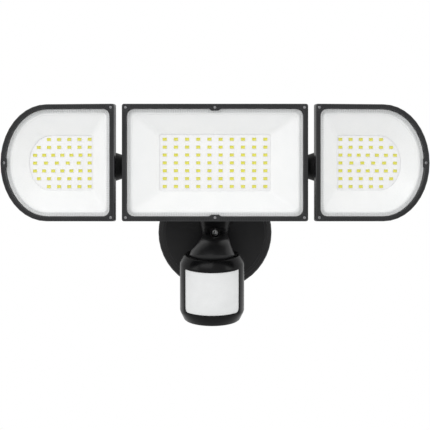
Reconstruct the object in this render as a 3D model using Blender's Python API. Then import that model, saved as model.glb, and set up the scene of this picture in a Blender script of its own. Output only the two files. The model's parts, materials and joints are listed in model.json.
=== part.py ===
# Wall floodlight: three LED heads on a canopy and arm, with a motion sensor below.
# Sizes are millimetres here and become metres where a mesh is made. +X right, -Y front, +Z up.
# The origin is the centre of the wall plane behind the canopy.

import math

import bmesh
import bpy
from mathutils import Matrix, Vector

MM = 0.001

# Driving dimensions
HEAD_HEIGHT = 109.4
CENTER_WIDTH = 173.4
SIDE_WIDTH = 109.8
CANOPY_R = 55.0
SENSOR_R = 30.6
SENSOR_HEIGHT = 63.5
HEAD_FRONT = 138.0
HEAD_Z = 65.7
SIDE_YAW = 12.0
SENSOR_NOD = 14.0

# Clearances, and how far a joined root or a cutter runs past the face that it meets
GAP = 0.3
WORK_GAP = 0.4
SINK = 1.0

# Heads: depths run back from the front plane
BEZEL_WIDE = 4.6
LIP_DEEP = 1.8
SKIRT_WALL = 1.8
EDGE_BEVEL = 0.6
OUTER_CORNER = 2.0
OPENING_CORNER = 6.5
LIP_HIDE = 0.1
LENS_THICK = 1.6
LENS_CORNER = 8.0
GASKET_THICK = 1.0
GASKET_WIDE = 1.5
FLANGE_THICK = 1.1
REFLECTOR_WALL = 1.2
REFLECTOR_EDGE = 9.7
REFLECTOR_STEP = 1.2
REFLECTOR_CORNER = 5.0
WINDOW_RIM = 1.8
WINDOW_RIM_DEEP = 1.5
BOARD_THICK = 1.6
BOARD_MARGIN = 3.0
BOARD_CORNER = 2.0
CENTER_WINDOW_X = 34.8
SIDE_WINDOW_X = 24.0
CENTER_WINDOW_Z = 28.2
SIDE_WINDOW_Z = 29.0
REFLECTOR_DEEP = 9.4
HOUSING_STRAIGHT = 1.5
EAR_SEAT = 3.9
HOUSING_INSET = 10.0
HOUSING_FLOOR = 3.0
CAVITY_EDGE = 9.0
CAVITY_CORNER = 4.0
CAVITY_DRAFT = 2.0
FIN_DEEP = 11.5
FIN_THICK = 2.2
FIN_PITCH = 9.0
FIN_NOSE = 3.0
FIN_MARGIN = 4.0
CENTER_FINS = 6
SIDE_FINS = 8
SIDE_FIN_FIRST = 26.0
END_A = 44.7

# Light chips
CHIP_X = 3.9
CHIP_Z = 2.9
CHIP_TALL = 0.8
CHIP_SINK = 0.4
CENTER_COLUMNS = 10
CENTER_ROWS = 7
CENTER_PITCH_X = (CENTER_WIDTH - 2 * CENTER_WINDOW_X) / (CENTER_COLUMNS - 0.07)
ROW_PITCH = (HEAD_HEIGHT - 2 * CENTER_WINDOW_Z) / (CENTER_ROWS + 0.2)
SIDE_ROWS = (5, 6, 7, 6, 7, 6, 5)
SIDE_SPANS = (39.4, 49.2, 52.9, 52.9, 52.9, 49.2, 39.4)
SIDE_FIRST = 3.3

# Bezel screws
SCREW_IN = 3.4
SCREW_HEAD_R = 1.35
SCREW_HEAD_TALL = 0.8
SCREW_SHANK_R = 0.8
SCREW_INTO = 3.0
TAB_TALL = 1.7
TAB_BASE = 14.4
TAB_TIP = 7.0

# Head tilt hinge
HINGE_Y = 84.0
HINGE_Z = 41.4
BARREL_R = 10.0
BARREL_HALF = 11.0
EAR_THICK = 6.0
EAR_R = 11.0
BOLT_R = 3.0
BOLT_HEAD_R = 5.6
BOLT_HEAD_TALL = 3.8
WASHER_THICK = 1.2
WASHER_OVER = 0.9
NUT_TALL = 5.0
BOLT_PAST_NUT = 2.0
THREAD_GAP = 0.15
EAR_FOOT_LOW = 7.0
EAR_FOOT_HIGH = 13.0

# Side knuckles
KNUCKLE_DEEP = 29.0
KNUCKLE_Z = -3.5
PIVOT_EAR_R = 10.5
PIVOT_EAR_THICK = 10.0
PIVOT_EAR_BACK = 2.5
PIVOT_GAP = 0.5
DISC_THICK = 8.2
DISC_R_IN = 10.6
DISC_R_OUT = 13.2
KNUCKLE_NECK_R = 5.6
BARREL_V_R = 6.0
BARREL_V_HALF = 11.7
PIN_R = 2.0
PIN_HEAD_R = 3.4
PIN_HEAD_TALL = 1.8
PIN_FROM_EDGE = 11.0
SIDE_GAP = 1.0
PAN_EAR_GAP = 1.1
PAN_EAR_THICK = 5.6
PAN_EAR_R = 5.5
PAN_EAR_NEAR = 3.2
PAN_EAR_FAR = 8.5
PAN_EAR_FOOT = 14.0
TILT_BOLT_R = 2.5
TILT_HEAD_R = 4.4
TILT_HEAD_TALL = 3.4

# Canopy and wall parts
CANOPY_DEEP = 18.0
CANOPY_WALL = 2.5
GASKET_DEEP = 2.0
STRAP_LONG = 90.0
STRAP_WIDE = 20.0
STRAP_THICK = 2.0
STRAP_CORNER = 3.0
SLOT_LONG = 10.0
SLOT_WIDE = 5.2
SLOT_X = 38.0
CENTER_SCREW_R = 2.0
CENTER_SCREW_HEAD_R = 3.4
CENTER_SCREW_TALL = 2.2
RECESS_R = 4.7
DRIVER_PATH = 60.0
RECESS_DEEP = 3.0
DRIVER_CORNER = 3.0
DRIVER_SIZE = (52.0, 9.0, 25.0)
DRIVER_Z = 24.8
ARM_SCREW_Z = 8.5
ARM_SCREW_X = (-7.5, 7.5)
ARM_SCREW_R = 1.5
ARM_SCREW_HEAD_R = 2.8
ARM_SCREW_TALL = 2.0
ARM_SCREW_LONG = 11.0
ARM_SCREW_HOLE = 8.5
GROUND_X = 22.0
GROUND_HEAD_R = 3.2

# Arm
ARM_BACK = CANOPY_DEEP + GAP
ARM_FRONT = ARM_BACK + 17.7
BELL_Z = -16.8
BELL_R = 19.8
BELL_SPHERE = 22.0
SKIRT_DROPS = (8.5, 6.0, 3.6)
SKIRT_ROOM = 2.0
LEAN_Z = -6.4
ARM_SECTIONS = (
    # height, front, back, half width, roundness
    (BELL_Z, 93.8, 54.2, BELL_R, 1.0),
    (-14.6, 92.6, 55.4, 18.4, 0.97),
    (-11.6, 90.8, 57.2, 16.3, 0.93),
    (-8.8, 87.5, 58.0, 14.9, 0.9),
    (-7.2, 84.0, 56.0, 14.0, 0.85),
    (-6.4, 80.0, ARM_BACK, 13.6, 0.6),
    (-5.0, 68.0, ARM_BACK, 13.1, 0.55),
    (-4.3, 59.0, ARM_BACK, 12.9, 0.5),
    (-2.0, 43.0, ARM_BACK, 12.5, 0.5),
    (1.0, ARM_FRONT + 1, ARM_BACK, 12.4, 0.5),
    (4.0, ARM_FRONT, ARM_BACK, 12.9, 0.5),
    (8.0, ARM_FRONT + 2, ARM_BACK, 14.0, 0.5),
    (13.0, 42.0, ARM_BACK, 15.4, 0.5),
    (21.0, 56.0, ARM_BACK + 3.7, 15.0, 0.5),
    (29.0, 68.0, 32.0, 13.5, 0.6),
    (33.4, 78.0, 38.0, 11.0, 0.6),
    (41.4, 90.0, 58.0, 10.8, 0.7),
    (47.4, 86.0, 70.0, 10.2, 0.7),
)

# Sensor swivel
BALL_Y = 74.0
BALL_X = -2.8
BALL_Z = -17.6
BALL_R = 6.5
NECK_R = 3.6
CUP_WALL = 1.7
CUP_FLANGE_R = 11.5
CUP_FLANGE_THICK = 1.5
CUP_FLANGE_LOW = 1.1
CUP_DROP = 4.6
RING_R = 14.0
RING_THICK = 1.8
DISH_GAP = 1.2
COLLAR_R = 5.2
COLLAR_TALL = 1.4
RETAINER_R = 7.0
RETAINER_TALL = 2.0

# Sensor body, from the ball centre down
SENSOR_TOP = 3.2
SENSOR_WALL = 2.2
SENSOR_END_R = 26.8
SHOULDER_TOP = 8.5
SHOULDER_END = 9.4
SPLIT_Y = 3.0
WINDOW_ANGLE = 57.8
WINDOW_TOP = 10.1
WINDOW_TALL = 42.3
WINDOW_CORNER = 4.0
LENS_WALL = 1.3
LENS_SUNK = 0.6
LENS_LAP_ANGLE = 5.0
LENS_LAP_TOP = 1.2
LENS_LAP_LOW = 1.4
SENSOR_BOARD = (40.0, 1.6, 31.3)
SENSOR_BOARD_LOW = 4.7
PIR_R = 4.6
PIR_TALL = 5.0
PIR_Z = 30.0
KNOB_R = 4.5
KNOB_PITCH = 14.0
KNOB_Y = -9.0
KNOB_OUT = 1.6
KNOB_FLANGE = 1.0
KNOB_LIP = 0.9
KNOB_EDGE = 0.4
KNOB_SLOT = (0.75, 1.2, 1.0)

# Sides of round shapes, and the angle past which an edge stays sharp
ROUND = 32
SMALL_ROUND = 12
SHARP_ANGLE = 35.0

# Places that follow from the sizes above
LENS_FRONT = LIP_DEEP + GAP
GASKET_FRONT = LENS_FRONT + LENS_THICK + GAP
FLANGE_FRONT = GASKET_FRONT + GASKET_THICK + GAP
HOUSING_FRONT = FLANGE_FRONT + FLANGE_THICK + GAP
WINDOW_DEEP = HOUSING_FRONT + REFLECTOR_DEEP - GAP
BOARD_FRONT = WINDOW_DEEP + WORK_GAP
FLOOR_DEEP = BOARD_FRONT + BOARD_THICK + GAP
BACK_DEEP = FLOOR_DEEP + HOUSING_FLOOR
SIDE_EDGE = CENTER_WIDTH / 2 + SIDE_GAP
PIN_X = SIDE_EDGE + PIN_FROM_EDGE
PIVOT_Y = -HEAD_FRONT + KNUCKLE_DEEP
PIVOT_Z = HEAD_Z + KNUCKLE_Z
DISC_X = CENTER_WIDTH / 2 - PIVOT_EAR_BACK + PIVOT_GAP
BALL = Vector((BALL_X, -BALL_Y, BALL_Z))
HINGE = Vector((0, -HINGE_Y, HINGE_Z))
SENSOR_LOW = -SENSOR_TOP - SENSOR_HEIGHT
DISH_R = BELL_SPHERE + DISH_GAP

BLACK = (0.03, 0.031, 0.033)
SATIN = (0.045, 0.046, 0.049)
DARK = (0.016, 0.016, 0.018)
ZINC = (0.62, 0.62, 0.6)
WHITE = (0.86, 0.87, 0.86)


# Meshes

def shape(rings, closed=False):
    bm = bmesh.new()
    rows = [[bm.verts.new(Vector(p) * MM) for p in ring] for ring in rings]
    count = len(rows[0])
    pairs = list(zip(rows, rows[1:]))
    if closed:
        pairs.append((rows[-1], rows[0]))
    for low, high in pairs:
        for i in range(count):
            j = (i + 1) % count
            bm.faces.new((low[i], low[j], high[j], high[i]))
    if not closed:
        bm.faces.new(rows[0])
        bm.faces.new(rows[-1])
    return settle(bm)


def settle(bm):
    bmesh.ops.remove_doubles(bm, verts=bm.verts, dist=1e-6)
    bmesh.ops.recalc_face_normals(bm, faces=bm.faces)
    mesh = bpy.data.meshes.new("shape")
    bm.to_mesh(mesh)
    bm.free()
    obj = bpy.data.objects.new("shape", mesh)
    bpy.context.scene.collection.objects.link(obj)
    return obj


def frame_of(axis):
    axis = Vector(axis).normalized()
    side = Vector((0, 0, 1)) if abs(axis.z) < 0.9 else Vector((1, 0, 0))
    first = axis.cross(side).normalized()
    return first, axis.cross(first), axis


def revolve(profile, center, axis, steps=ROUND, closed=False, turn=0.0):
    first, second, along = frame_of(axis)
    rings = []
    for r, h in profile:
        ring = []
        for i in range(steps):
            a = math.tau * i / steps + turn
            ring.append(Vector(center) + along * h + (first * math.cos(a) + second * math.sin(a)) * r)
        rings.append(ring)
    return shape(rings, closed)


def rod(center, axis, r, start, end, steps=SMALL_ROUND, turn=0.0):
    return revolve([(r, start), (r, end)], center, axis, steps, turn=turn)


def block(low, high):
    (x0, y0, z0), (x1, y1, z1) = low, high
    corners = ((x0, y0), (x1, y0), (x1, y1), (x0, y1))
    return shape([[(x, y, z) for x, y in corners] for z in (z0, z1)])


def join(objs):
    bm = bmesh.new()
    for obj in objs:
        bm.from_mesh(obj.data)
        drop(obj)
    return settle(bm)


def drop(obj):
    mesh = obj.data
    bpy.data.objects.remove(obj)
    bpy.data.meshes.remove(mesh)


def result_of(target, tool, operation, solver):
    modifier = target.modifiers.new("boolean", "BOOLEAN")
    modifier.operation = operation
    modifier.solver = solver
    modifier.object = tool
    graph = bpy.context.evaluated_depsgraph_get()
    mesh = bpy.data.meshes.new_from_object(target.evaluated_get(graph))
    target.modifiers.clear()
    return mesh


def is_closed(mesh):
    bm = bmesh.new()
    bm.from_mesh(mesh)
    good = len(bm.faces) > 0 and all(edge.is_manifold for edge in bm.edges)
    bm.free()
    return good


def boolean(target, tool, operation):
    mesh = result_of(target, tool, operation, "EXACT")
    if not is_closed(mesh):
        bpy.data.meshes.remove(mesh)
        mesh = result_of(target, tool, operation, "MANIFOLD")
    old = target.data
    target.data = mesh
    bpy.data.meshes.remove(old)
    drop(tool)
    return target


def add(target, *tools):
    for tool in tools:
        boolean(target, tool, "UNION")
    return target


def cut(target, *tools):
    for tool in tools:
        boolean(target, tool, "DIFFERENCE")
    return target


def arc(cx, cz, r, start, end, count):
    angles = [math.radians(start + (end - start) * i / (count - 1)) for i in range(count)]
    return [(cx + r * math.cos(a), cz + r * math.sin(a)) for a in angles]


def flat(outline, depth, place):
    return [place(x, depth, z) for x, z in outline]


def material(name, color, metallic, roughness, alpha):
    mat = bpy.data.materials.new(name)
    mat.use_nodes = True
    inputs = mat.node_tree.nodes["Principled BSDF"].inputs
    inputs["Base Color"].default_value = (*color, 1)
    inputs["Metallic"].default_value = metallic
    inputs["Roughness"].default_value = roughness
    inputs["Alpha"].default_value = alpha
    return mat


# Names the piece, moves its origin onto its joint's pivot, and gives it its material and shading.
def finish(obj, name, color, pivot=(0, 0, 0), metallic=0.0, roughness=0.45, alpha=1.0):
    mesh = obj.data
    obj.name = name
    mesh.name = name
    mesh.transform(Matrix.Translation(-Vector(pivot) * MM))
    obj.location = Vector(pivot) * MM
    mesh.materials.clear()
    mesh.materials.append(material(name, color, metallic, roughness, alpha))
    for face in mesh.polygons:
        face.material_index = 0
    mesh.shade_smooth()
    mesh.set_sharp_from_angle(angle=math.radians(SHARP_ANGLE))


# Heads

def rect_outline(half_x, half_z, radius, count=5):
    points = []
    for sx, sz, start in ((1, 1, 0), (-1, 1, 90), (-1, -1, 180), (1, -1, 270)):
        points += arc(sx * (half_x - radius), sz * (half_z - radius), radius, start, start + 90, count)
    return points


def d_outline(near, far, half_z, radius, end_a, count=5, sweep=21):
    points = []
    for i in range(sweep):
        a = math.pi * (i / (sweep - 1) - 0.5)
        points.append((far - end_a + end_a * math.cos(a), half_z * math.sin(a)))
    points += arc(near + radius, half_z - radius, radius, 90, 180, count)
    points += arc(near + radius, radius - half_z, radius, 180, 270, count)
    return points


def center_place(x, depth, z):
    return Vector((x, depth - HEAD_FRONT, HEAD_Z + z))


def side_place(mirror):
    yaw = math.radians(SIDE_YAW)

    def place(x, depth, z):
        dx = x - PIN_X
        dy = depth - KNUCKLE_DEEP
        across = PIN_X + dx * math.cos(yaw) - dy * math.sin(yaw)
        back = PIVOT_Y + dx * math.sin(yaw) + dy * math.cos(yaw)
        return Vector((across * mirror, back, HEAD_Z + z))

    return place


def center_head():
    half_z = HEAD_HEIGHT / 2
    half_x = CENTER_WIDTH / 2
    corner_x = half_x - SCREW_IN
    corner_z = half_z - SCREW_IN
    return {
        "name": "center",
        "outline": lambda ix, iz, r: rect_outline(half_x - ix, half_z - iz, r),
        "place": center_place,
        "pivot": HINGE,
        "corners": [(x, z) for x in (-corner_x, corner_x) for z in (-corner_z, corner_z)],
        "edges": [(0, -corner_z), (0, corner_z)],
        "tabs": [center_tab(-1), center_tab(1)],
        "window": (CENTER_WINDOW_X, CENTER_WINDOW_Z),
        "chips": center_chips(),
    }


def side_head(name, mirror):
    half_z = HEAD_HEIGHT / 2
    near, far = SIDE_EDGE, SIDE_EDGE + SIDE_WIDTH
    corner_z = half_z - SCREW_IN
    return {
        "name": name,
        "outline": lambda ix, iz, r: d_outline(near + ix, far - ix, half_z - iz, r, END_A - ix),
        "place": side_place(mirror),
        "pivot": (PIN_X * mirror, PIVOT_Y, PIVOT_Z),
        "corners": [(near + SCREW_IN, -corner_z), (near + SCREW_IN, corner_z)],
        "edges": [(far - SCREW_IN, 0)],
        "tabs": [side_tab(far)],
        "window": (SIDE_WINDOW_X, SIDE_WINDOW_Z),
        "chips": side_chips(near + SIDE_WINDOW_X + SIDE_FIRST),
    }


def center_tab(sign):
    root = HEAD_HEIGHT / 2 - BEZEL_WIDE + 1
    tip = HEAD_HEIGHT / 2 - BEZEL_WIDE - TAB_TALL
    base = TAB_BASE / 2
    end = TAB_TIP / 2
    return [(-base, sign * root), (base, sign * root), (end, sign * tip), (-end, sign * tip)]


def side_tab(far):
    root = far - BEZEL_WIDE + 1
    tip = far - BEZEL_WIDE - TAB_TALL
    base = TAB_BASE / 2
    end = TAB_TIP / 2
    return [(root, -base), (root, base), (tip, end), (tip, -end)]


def center_chips():
    chips = []
    for column in range(CENTER_COLUMNS):
        for row in range(CENTER_ROWS):
            x = (column - (CENTER_COLUMNS - 1) / 2) * CENTER_PITCH_X
            chips.append((x, (row - (CENTER_ROWS - 1) / 2) * ROW_PITCH))
    return chips


def side_chips(first):
    chips = []
    for row, (count, span) in enumerate(zip(SIDE_ROWS, SIDE_SPANS)):
        z = (row - (len(SIDE_ROWS) - 1) / 2) * ROW_PITCH
        for i in range(count):
            chips.append((first + span * i / (count - 1), z))
    return chips


def head_rings(head, rows):
    rings = []
    for ix, iz, depth, radius in rows:
        rings.append(flat(head["outline"](ix, iz, radius), depth, head["place"]))
    return rings


def turned(head, spot, profile, steps=SMALL_ROUND):
    x, z = spot
    start = head["place"](x, 0, z)
    along = head["place"](x, 1, z) - start
    return revolve(profile, start, along, steps)


def prism(head, outline, start, end):
    return shape([flat(outline, depth, head["place"]) for depth in (start, end)])


def screw_spots(head):
    return head["corners"] + head["edges"]


def bezel(head):
    b = EDGE_BEVEL
    w = BEZEL_WIDE
    s = SKIRT_WALL
    inner = OPENING_CORNER
    outer = OUTER_CORNER
    back = HOUSING_FRONT - GAP
    rows = [
        (b, b, 0, outer - b / 2), (w - b, w - b, 0, inner + b / 2), (w, w, b, inner),
        (w, w, LIP_DEEP, inner), (s, s, LIP_DEEP, outer / 2), (s, s, back, outer / 2),
        (0, 0, back, outer), (0, 0, b, outer),
    ]
    obj = shape(head_rings(head, rows), closed=True)
    for tab in head["tabs"]:
        add(obj, prism(head, tab, 0, LIP_DEEP))
    seat_r = SCREW_HEAD_R + GAP
    hole_r = SCREW_SHANK_R + GAP
    seat = SCREW_HEAD_TALL + GAP
    profile = [(seat_r, -1), (seat_r, seat), (hole_r, seat), (hole_r, LIP_DEEP + 1)]
    cut(obj, join([turned(head, spot, profile) for spot in screw_spots(head)]))
    finish(obj, head["name"] + "_bezel", BLACK, head["pivot"], roughness=0.35)


def lens(head):
    inset = SKIRT_WALL + WORK_GAP
    rows = [(inset, inset, LENS_FRONT + t, LENS_CORNER) for t in (0, LENS_THICK)]
    obj = shape(head_rings(head, rows))
    notch_r = SCREW_SHANK_R + 2 * GAP
    reach = [(notch_r, LENS_FRONT - SINK), (notch_r, LENS_FRONT + LENS_THICK + SINK)]
    cut(obj, join([turned(head, spot, reach) for spot in head["edges"]]))
    finish(obj, head["name"] + "_lens", WHITE, head["pivot"], roughness=0.05, alpha=0.18)


def lens_gasket(head):
    low = BEZEL_WIDE + LIP_HIDE
    high = low + GASKET_WIDE
    back = GASKET_FRONT + GASKET_THICK
    rows = [
        (low, low, GASKET_FRONT, OPENING_CORNER), (high, high, GASKET_FRONT, OPENING_CORNER - 1),
        (high, high, back, OPENING_CORNER - 1), (low, low, back, OPENING_CORNER),
    ]
    obj = shape(head_rings(head, rows), closed=True)
    finish(obj, head["name"] + "_lens_gasket", WHITE, head["pivot"], roughness=0.6)


def reflector(head):
    out = BEZEL_WIDE + LIP_HIDE
    edge = REFLECTOR_EDGE
    step = edge + GAP
    outside = edge - 0.2
    wx, wz = head["window"]
    t = REFLECTOR_WALL
    rim = WINDOW_RIM
    front = FLANGE_FRONT
    back = FLANGE_FRONT + FLANGE_THICK
    corner = REFLECTOR_CORNER
    rows = [
        (out, out, front, OPENING_CORNER), (edge, edge, front, corner),
        (step, step, front + REFLECTOR_STEP, corner),
        (wx - rim, wz - rim, WINDOW_DEEP - WINDOW_RIM_DEEP, BOARD_CORNER + rim),
        (wx, wz, WINDOW_DEEP, BOARD_CORNER), (wx - t, wz - t, WINDOW_DEEP, BOARD_CORNER + t),
        (outside, outside, front + REFLECTOR_STEP + 0.8, corner), (outside, outside, back, corner),
        (out, out, back, OPENING_CORNER),
    ]
    obj = shape(head_rings(head, rows), closed=True)
    finish(obj, head["name"] + "_reflector", WHITE, head["pivot"], roughness=0.4)


def led_board(head):
    wx, wz = head["window"]
    m = BOARD_MARGIN
    rows = [(wx - m, wz - m, BOARD_FRONT + t, BOARD_CORNER) for t in (0, BOARD_THICK)]
    obj = shape(head_rings(head, rows))
    chips = []
    for x, z in head["chips"]:
        dx, dz = CHIP_X / 2, CHIP_Z / 2
        outline = [(x - dx, z - dz), (x + dx, z - dz), (x + dx, z + dz), (x - dx, z + dz)]
        chips.append(prism(head, outline, BOARD_FRONT - CHIP_TALL, BOARD_FRONT + CHIP_SINK))
    add(obj, join(chips))
    finish(obj, head["name"] + "_led_board", (0.84, 0.83, 0.88), head["pivot"], roughness=0.5)


def fin(head, x, half_z):
    low = BACK_DEEP - SINK
    high = BACK_DEEP + FIN_DEEP
    nose = FIN_NOSE
    side = [(low, -half_z), (high - nose, -half_z), (high, nose - half_z),
            (high, half_z - nose), (high - nose, half_z), (low, half_z)]
    place = head["place"]
    return shape([[place(x + dx, d, z) for d, z in side] for dx in (-FIN_THICK / 2, FIN_THICK / 2)])


def housing_shell(head):
    cavity = CAVITY_EDGE
    floor = cavity + CAVITY_DRAFT
    wide = OUTER_CORNER
    rows = [
        (floor, floor, FLOOR_DEEP, CAVITY_CORNER), (cavity, cavity, HOUSING_FRONT, CAVITY_CORNER),
        (0, 0, HOUSING_FRONT, wide), (0, 0, HOUSING_FRONT + HOUSING_STRAIGHT, wide),
        (HOUSING_INSET, HOUSING_INSET, BACK_DEEP, CAVITY_CORNER),
    ]
    return shape(head_rings(head, rows))


def housing_holes(head):
    r = SCREW_SHANK_R + GAP
    end = HOUSING_FRONT + SCREW_INTO + GAP
    return join([turned(head, s, [(r, HOUSING_FRONT - SINK), (r, end)]) for s in screw_spots(head)])


def bezel_screws(head, names):
    end = HOUSING_FRONT + SCREW_INTO
    r, tall, s = SCREW_HEAD_R, SCREW_HEAD_TALL, SCREW_SHANK_R
    profile = [(0, 0), (r * 0.6, 0.02), (r, tall * 0.4), (r, tall), (s, tall), (s, end), (0, end)]
    for spot, name in zip(screw_spots(head), names):
        obj = turned(head, spot, profile)
        finish(obj, f"{head['name']}_screw_{name}", (0.3, 0.3, 0.31), head["pivot"], 0.9, 0.35)


def head_common(head, screw_names):
    bezel(head)
    lens(head)
    lens_gasket(head)
    reflector(head)
    led_board(head)
    bezel_screws(head, screw_names)


# An ear's side: a foot on the housing that runs out to a half round about the pivot.
def ear_side(root, foot_low, foot_high, y, z, r):
    return [(root, foot_low)] + arc(y, z, r, -90, 90, 13) + [(root, foot_high)]


def ear_web(x0, x1):
    root = BACK_DEEP - SINK - HEAD_FRONT
    low = HINGE.z - EAR_R - EAR_FOOT_LOW
    high = HINGE.z + EAR_R + EAR_FOOT_HIGH
    points = ear_side(root, low, high, HINGE.y, HINGE.z, EAR_R)
    return shape([[(x, y, z) for y, z in points] for x in (x0, x1)])


def tilt_ear(mirror):
    root = PIVOT_Y - (KNUCKLE_DEEP - HOUSING_FRONT - EAR_SEAT)
    r = PIVOT_EAR_R
    points = ear_side(root, PIVOT_Z - r, PIVOT_Z + r, PIVOT_Y, PIVOT_Z, r)
    far = CENTER_WIDTH / 2 - PIVOT_EAR_BACK
    near = far - PIVOT_EAR_THICK
    return shape([[(x * mirror, y, z) for y, z in points] for x in (near, far)])


def center_housing(head):
    obj = housing_shell(head)
    half_z = HEAD_HEIGHT / 2 - HOUSING_INSET - FIN_MARGIN
    steps = [i for i in range(-CENTER_FINS, CENTER_FINS + 1) if abs(i) != 2]  # the hinge ears stand at 2
    add(obj, join([fin(head, i * FIN_PITCH, half_z) for i in steps]))
    low = BARREL_HALF + WORK_GAP
    high = low + EAR_THICK
    add(obj, join([ear_web(-high, -low), ear_web(low, high)]))
    add(obj, join([tilt_ear(-1), tilt_ear(1)]))
    cut(obj, housing_holes(head))
    cut(obj, rod(HINGE, (1, 0, 0), BOLT_R + GAP, -high - SINK, high + SINK, 20))
    far = CENTER_WIDTH / 2
    near = far - PIVOT_EAR_BACK - PIVOT_EAR_THICK - SINK
    for mirror in (-1, 1):
        start = (0, PIVOT_Y, PIVOT_Z)
        cut(obj, rod(start, (mirror, 0, 0), TILT_BOLT_R + GAP, near, far, 20))
    finish(obj, "center_housing", BLACK, head["pivot"], roughness=0.4)


def hinge_hardware():
    face = BARREL_HALF + WORK_GAP + EAR_THICK + GAP
    washer_out = face + WASHER_THICK
    start = washer_out + GAP
    hexed = revolve([(BOLT_HEAD_R, face), (BOLT_HEAD_R, face + BOLT_HEAD_TALL)], HINGE, (-1, 0, 0), 6)
    shank = rod(HINGE, (-1, 0, 0), BOLT_R, -start - NUT_TALL - BOLT_PAST_NUT, face + SINK, 20)
    finish(add(hexed, shank), "hinge_bolt", ZINC, HINGE, 1.0, 0.3)
    nut_r = BOLT_HEAD_R
    hole = BOLT_R + THREAD_GAP
    end = start + NUT_TALL
    nut = revolve([(nut_r, start), (nut_r, end)], HINGE, (1, 0, 0), 6)
    cut(nut, rod(HINGE, (1, 0, 0), hole, start - SINK, end + SINK, 20))
    finish(nut, "hinge_nut", ZINC, HINGE, 1.0, 0.3)
    wide = BOLT_HEAD_R + WASHER_OVER
    ring = [(hole, face), (wide, face), (wide, washer_out), (hole, washer_out)]
    finish(revolve(ring, HINGE, (1, 0, 0), 20, True), "hinge_washer", ZINC, HINGE, 1.0, 0.35)


def pan_ear(head, sign):
    bottom = KNUCKLE_Z + sign * (BARREL_V_HALF + PAN_EAR_GAP)
    top = bottom + sign * PAN_EAR_THICK
    root = HOUSING_FRONT + EAR_SEAT + SINK
    near = SIDE_EDGE + PAN_EAR_NEAR
    far = SIDE_EDGE + PAN_EAR_FAR
    points = [(near, root)] + arc(PIN_X, KNUCKLE_DEEP, PAN_EAR_R, 180, 0, 10)
    points += [(PIN_X + PAN_EAR_FOOT, BACK_DEEP - SINK), (far, BACK_DEEP - 2 * SINK), (far, root)]
    place = head["place"]
    return shape([[place(x, d, z) for x, d in points] for z in (bottom, top)])


def side_housing(head, mirror):
    obj = housing_shell(head)
    near = SIDE_EDGE
    far = SIDE_EDGE + SIDE_WIDTH
    fins = []
    for i in range(SIDE_FINS):
        x = near + SIDE_FIN_FIRST + i * FIN_PITCH
        reach = max(0.0, x - (far - END_A)) / (END_A - HOUSING_INSET)
        half_z = (HEAD_HEIGHT / 2 - HOUSING_INSET) * math.sqrt(1 - min(reach, 0.95) ** 2) - FIN_MARGIN
        if half_z > 2 * FIN_MARGIN:
            fins.append(fin(head, x, half_z))
    add(obj, join(fins))
    add(obj, join([pan_ear(head, 1), pan_ear(head, -1)]))
    cut(obj, housing_holes(head))
    center = (PIN_X * mirror, PIVOT_Y, PIVOT_Z)
    reach = BARREL_V_HALF + PAN_EAR_GAP + PAN_EAR_THICK + SINK
    cut(obj, rod(center, (0, 0, 1), PIN_R + GAP, -reach, reach, 20))
    finish(obj, head["name"] + "_housing", BLACK, head["pivot"], roughness=0.4)


def knuckle(name, mirror):
    start = (0, PIVOT_Y, PIVOT_Z)
    disc_end = DISC_X + DISC_THICK
    profile = [(0, DISC_X), (DISC_R_IN, DISC_X), (DISC_R_OUT, disc_end), (0, disc_end)]
    obj = revolve(profile, start, (mirror, 0, 0), 28)
    center = (PIN_X * mirror, PIVOT_Y, PIVOT_Z)
    add(obj, rod(start, (mirror, 0, 0), KNUCKLE_NECK_R, disc_end - SINK, PIN_X, 24))
    add(obj, rod(center, (0, 0, 1), BARREL_V_R, -BARREL_V_HALF, BARREL_V_HALF, 24))
    reach = BARREL_V_HALF + SINK
    cut(obj, rod(center, (0, 0, 1), PIN_R + GAP, -reach, reach, 20))
    cut(obj, rod(start, (mirror, 0, 0), TILT_BOLT_R + GAP, DISC_X - SINK, disc_end, 20))
    pivot = (DISC_X * mirror, PIVOT_Y, PIVOT_Z)
    finish(obj, name + "_knuckle", DARK, pivot, roughness=0.5)
    top = BARREL_V_HALF + PAN_EAR_GAP + PAN_EAR_THICK + GAP
    end = top + PIN_HEAD_TALL
    tip = -top - SINK
    pin = [(0, tip), (PIN_R, tip), (PIN_R, top), (PIN_HEAD_R, top), (PIN_HEAD_R, end), (0, end)]
    finish(revolve(pin, center, (0, 0, 1), 20), name + "_pan_pin", ZINC, center, 1.0, 0.3)
    face = DISC_X - PIVOT_GAP - PIVOT_EAR_THICK - GAP
    end = disc_end - GAP
    r, h = TILT_BOLT_R, TILT_HEAD_R
    bolt = [(0, face - TILT_HEAD_TALL), (h, face - TILT_HEAD_TALL), (h, face), (r, face), (r, end), (0, end)]
    finish(revolve(bolt, start, (mirror, 0, 0), 20), name + "_tilt_bolt", ZINC, pivot, 1.0, 0.3)


# Wall parts and arm

def arm_screw_holes(start, end):
    r = ARM_SCREW_R + GAP
    return [rod((x, 0, ARM_SCREW_Z), (0, -1, 0), r, start, end, 16) for x in ARM_SCREW_X]


def canopy():
    # From the hollow out to the rim, then forward over the rounded shoulder, its groove and the flat front
    r, d, w = CANOPY_R, CANOPY_DEEP, CANOPY_WALL
    lip = GASKET_DEEP + GAP
    profile = [
        (0, d - w), (r - 9.5, d - w), (r - w, d - 7.5), (r - w, lip), (r, lip), (r, d - 6.5),
        (r - 1.2, d - 4.6), (r - 3.8, d - 3.6), (r - 4.2, d - 2.2), (r - 6.6, d - 1.6), (r - 7.0, d), (0, d),
    ]
    obj = revolve(profile, (0, 0, 0), (0, -1, 0), 44)
    back, front = d - w - SINK, d + SINK
    cut(obj, rod((0, 0, 0), (0, -1, 0), CENTER_SCREW_R + GAP, back, front, 16))
    cut(obj, join(arm_screw_holes(back, front)))
    finish(obj, "canopy", SATIN, roughness=0.4)


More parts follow.
